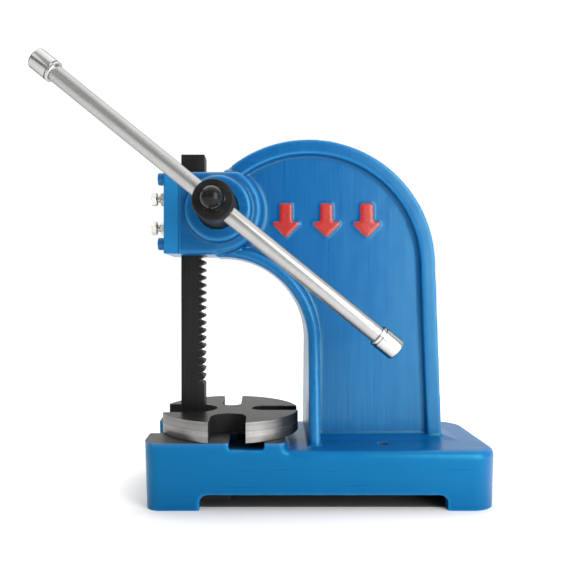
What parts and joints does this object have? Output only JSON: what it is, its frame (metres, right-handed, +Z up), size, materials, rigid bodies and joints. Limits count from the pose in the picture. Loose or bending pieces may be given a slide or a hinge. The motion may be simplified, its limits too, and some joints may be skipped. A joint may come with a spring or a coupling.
{
  "type": "arbor press",
  "caption": "Small bench arbor press: hollow-base iron frame, square rack ram, pinion with sliding lever and a turning slotted anvil plate.",
  "frame": {"origin": "the ram's axis in the plane of the bench, the underside of the base's feet", "axes": "+Z up along the ram, +X from the ram towards the column, the lever and the front are at -Y"},
  "size_m": [0.3473, 0.1527, 0.339],
  "materials": {
    "frame_enamel": "gloss blue enamel brushed over cast iron, raised arrows picked out in red",
    "anvil_iron": "turned rim and ground top, oiled",
    "bright_steel": "ground",
    "black_oxide_steel": "satin black oxide",
    "zinc_bar": "satin zinc plate, drawn lengthwise",
    "chrome_cap": "turned and bright plated",
    "black_nut": "gloss black",
    "zinc_screw": "bright zinc plate"
  },
  "bodies": {
    "frame": {"frame_casting": "frame_enamel", "anvil_pivot_pin": "bright_steel", "pinion_retaining_screw": "black_oxide_steel", "cover_plate": "frame_enamel", "gib_strip": "bright_steel", "cover_screw_1": "frame_enamel", "cover_screw_2": "frame_enamel", "cover_screw_3": "frame_enamel", "cover_screw_4": "frame_enamel", "gib_adjuster_1": "zinc_screw", "gib_adjuster_2": "zinc_screw", "gib_lock_nut_1": "zinc_screw", "gib_lock_nut_2": "zinc_screw"},
    "pinion": {"pinion_shaft": "black_oxide_steel"},
    "ram_body": {"ram": "black_oxide_steel"},
    "lever": {"lever_bar": "zinc_bar", "lever_cap_1": "chrome_cap", "lever_cap_2": "chrome_cap"},
    "clamp": {"clamp_nut": "black_nut", "clamp_stud": "black_oxide_steel"},
    "anvil": {"anvil_plate": "anvil_iron"}
  },
  "joints": [
    {"name": "pinion_turn", "type": "hinge", "parent": "frame", "child": "pinion", "pos_m": [0.02193, 0, 0.228], "axis": [0, 1, 0], "range_deg": [0, 470]},
    {"name": "ram_slide", "type": "slide", "parent": "frame", "child": "ram_body", "axis": [0, 0, 1], "range_m": [0, 0.1149]},
    {"name": "lever_slide", "type": "slide", "parent": "pinion", "child": "lever", "axis": [0.7764, 0, -0.6303], "range_m": [-0.136, 0.1325]},
    {"name": "clamp_turn", "type": "hinge", "parent": "pinion", "child": "clamp", "pos_m": [0.02193, -0.079, 0.228], "axis": [0, -1, 0], "range_deg": [0, 720]},
    {"name": "anvil_turn", "type": "hinge", "parent": "frame", "child": "anvil", "pos_m": [0.0303, 0, 0.0506], "axis": [0, 0, 1], "continuous": true}
  ],
  "couplings": [
    {"joint": "ram_slide", "follows": "pinion_turn", "m_per_rad": 0.014}
  ]
}
